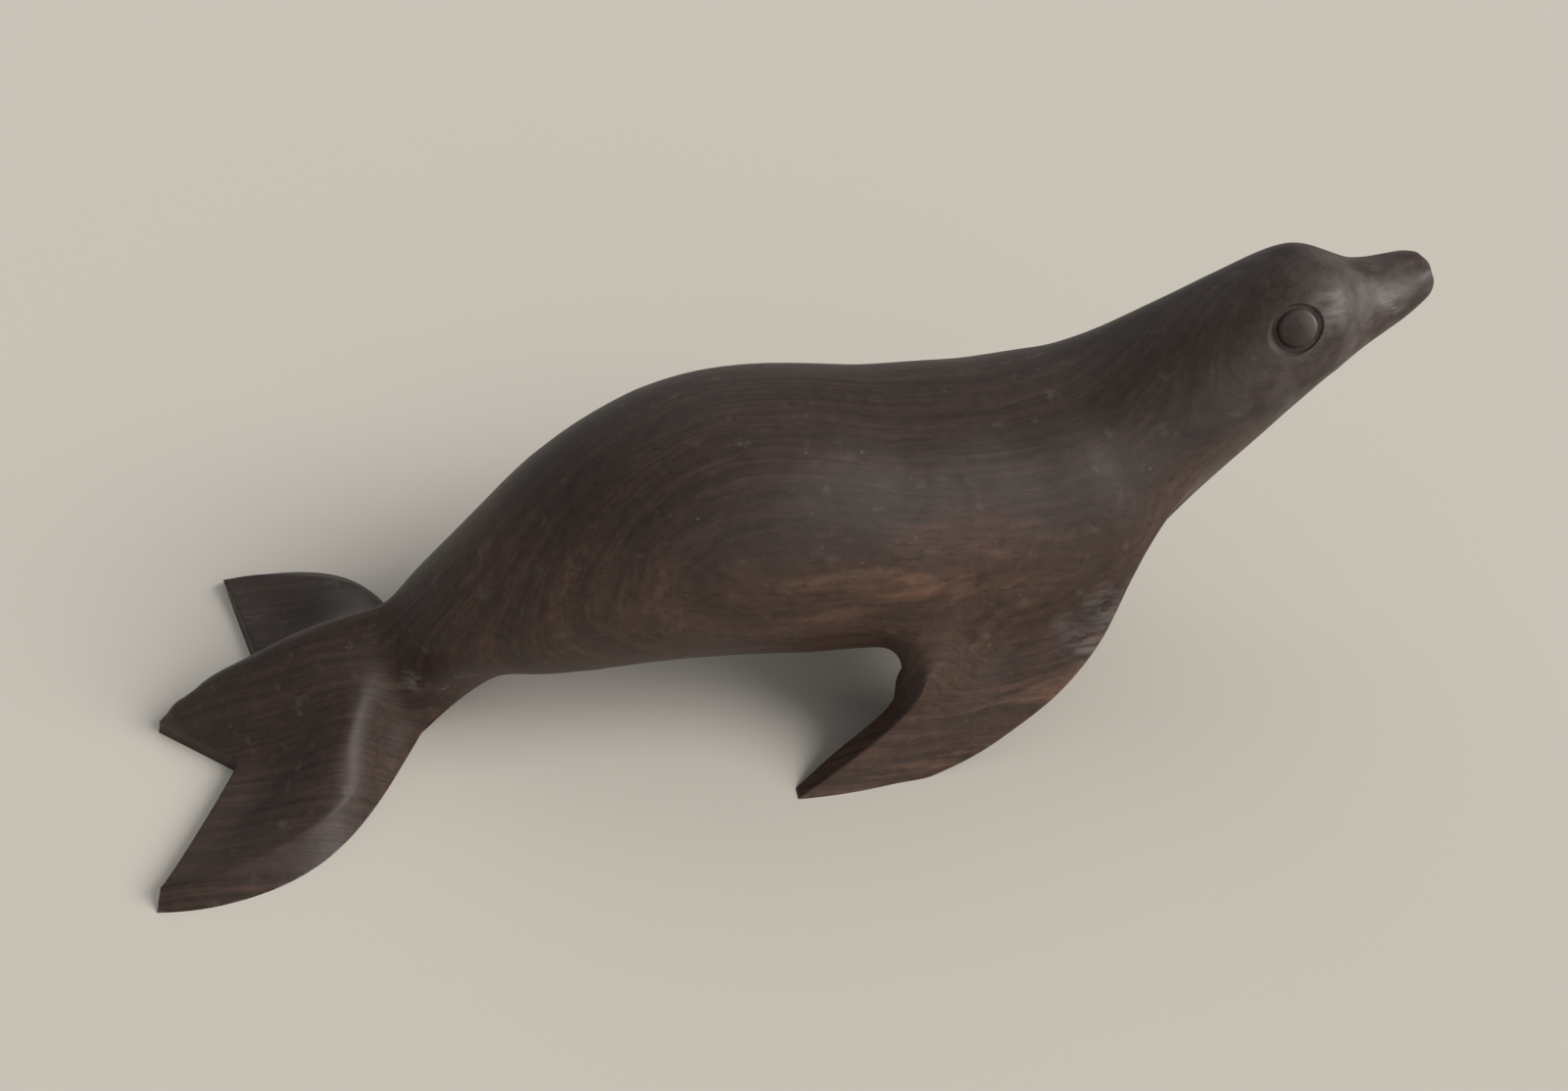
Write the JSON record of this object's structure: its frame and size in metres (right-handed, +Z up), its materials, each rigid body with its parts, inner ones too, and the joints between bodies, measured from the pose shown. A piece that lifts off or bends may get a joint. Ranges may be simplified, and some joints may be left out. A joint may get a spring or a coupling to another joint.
{
  "type": "seal figurine",
  "caption": "Solid carved hardwood seal that rests on its front flippers and its flat, spread tail, with a raised head, a blunt snout and a ring cut round each eye.",
  "frame": {"origin": "on the ground, in the middle of the figurine's box", "axes": "+X along the body towards the nose, +Y to the animal's left, +Z up from the surface it stands on"},
  "size_m": [0.238, 0.0812, 0.0797],
  "materials": {
    "dark_hardwood": "very dark brown dense hardwood with faint reddish growth lines, hand polished to a satin sheen"
  },
  "bodies": {
    "root": {"seal_carving": "dark_hardwood"}
  },
  "joints": []
}
